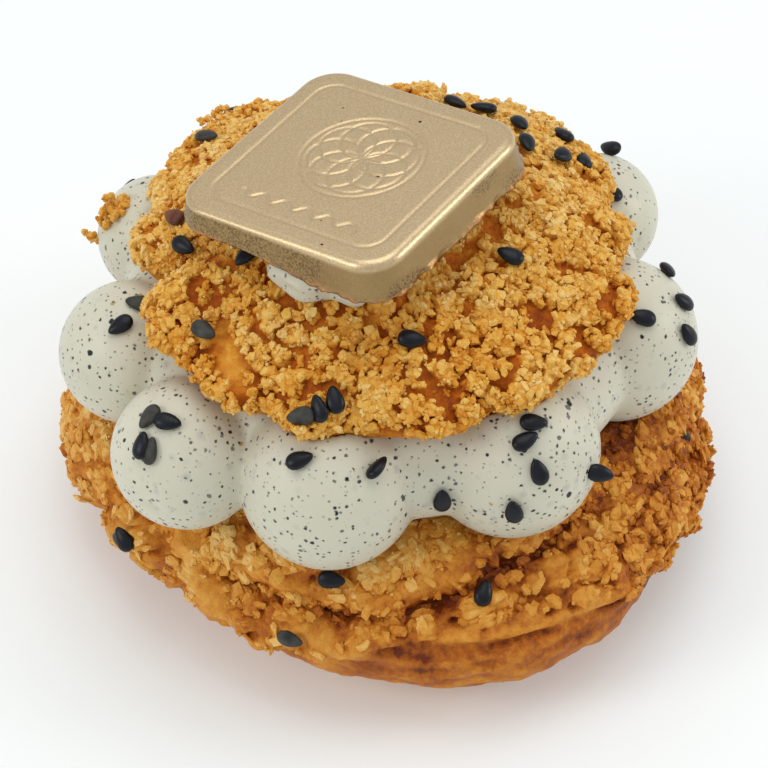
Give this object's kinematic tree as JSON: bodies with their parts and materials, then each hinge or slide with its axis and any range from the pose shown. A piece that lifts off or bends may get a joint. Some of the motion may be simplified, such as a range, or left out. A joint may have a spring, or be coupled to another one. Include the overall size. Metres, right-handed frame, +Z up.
{
  "type": "choux bun",
  "caption": "Filled choux bun: crackled base, ring of piped cream balls, crumbly cap, square chocolate plaque on a dab of cream, sesame seeds.",
  "frame": {"origin": "centre of the flat spot under the base, on the surface it stands on", "axes": "+Z up, the side that faces the viewer at -Y, +X to the viewer's right"},
  "size_m": [0.0769, 0.0756, 0.0569],
  "materials": {
    "choux_base": "baked choux under a crackled, crumbly crust, dark golden brown, matt with oily glints",
    "choux_cap": "baked choux under pale golden crumbs, orange brown between them, matt",
    "cream": "smooth grey-white cream speckled with ground black sesame, soft satin",
    "chocolate": "white chocolate dusted with bronze gold lustre powder, metallic satin"
  },
  "bodies": {
    "root": {"choux_base": "choux_base", "cream_filling": "cream", "choux_cap": "choux_cap", "cream_dab": "cream", "chocolate_plaque": "chocolate"}
  },
  "joints": []
}
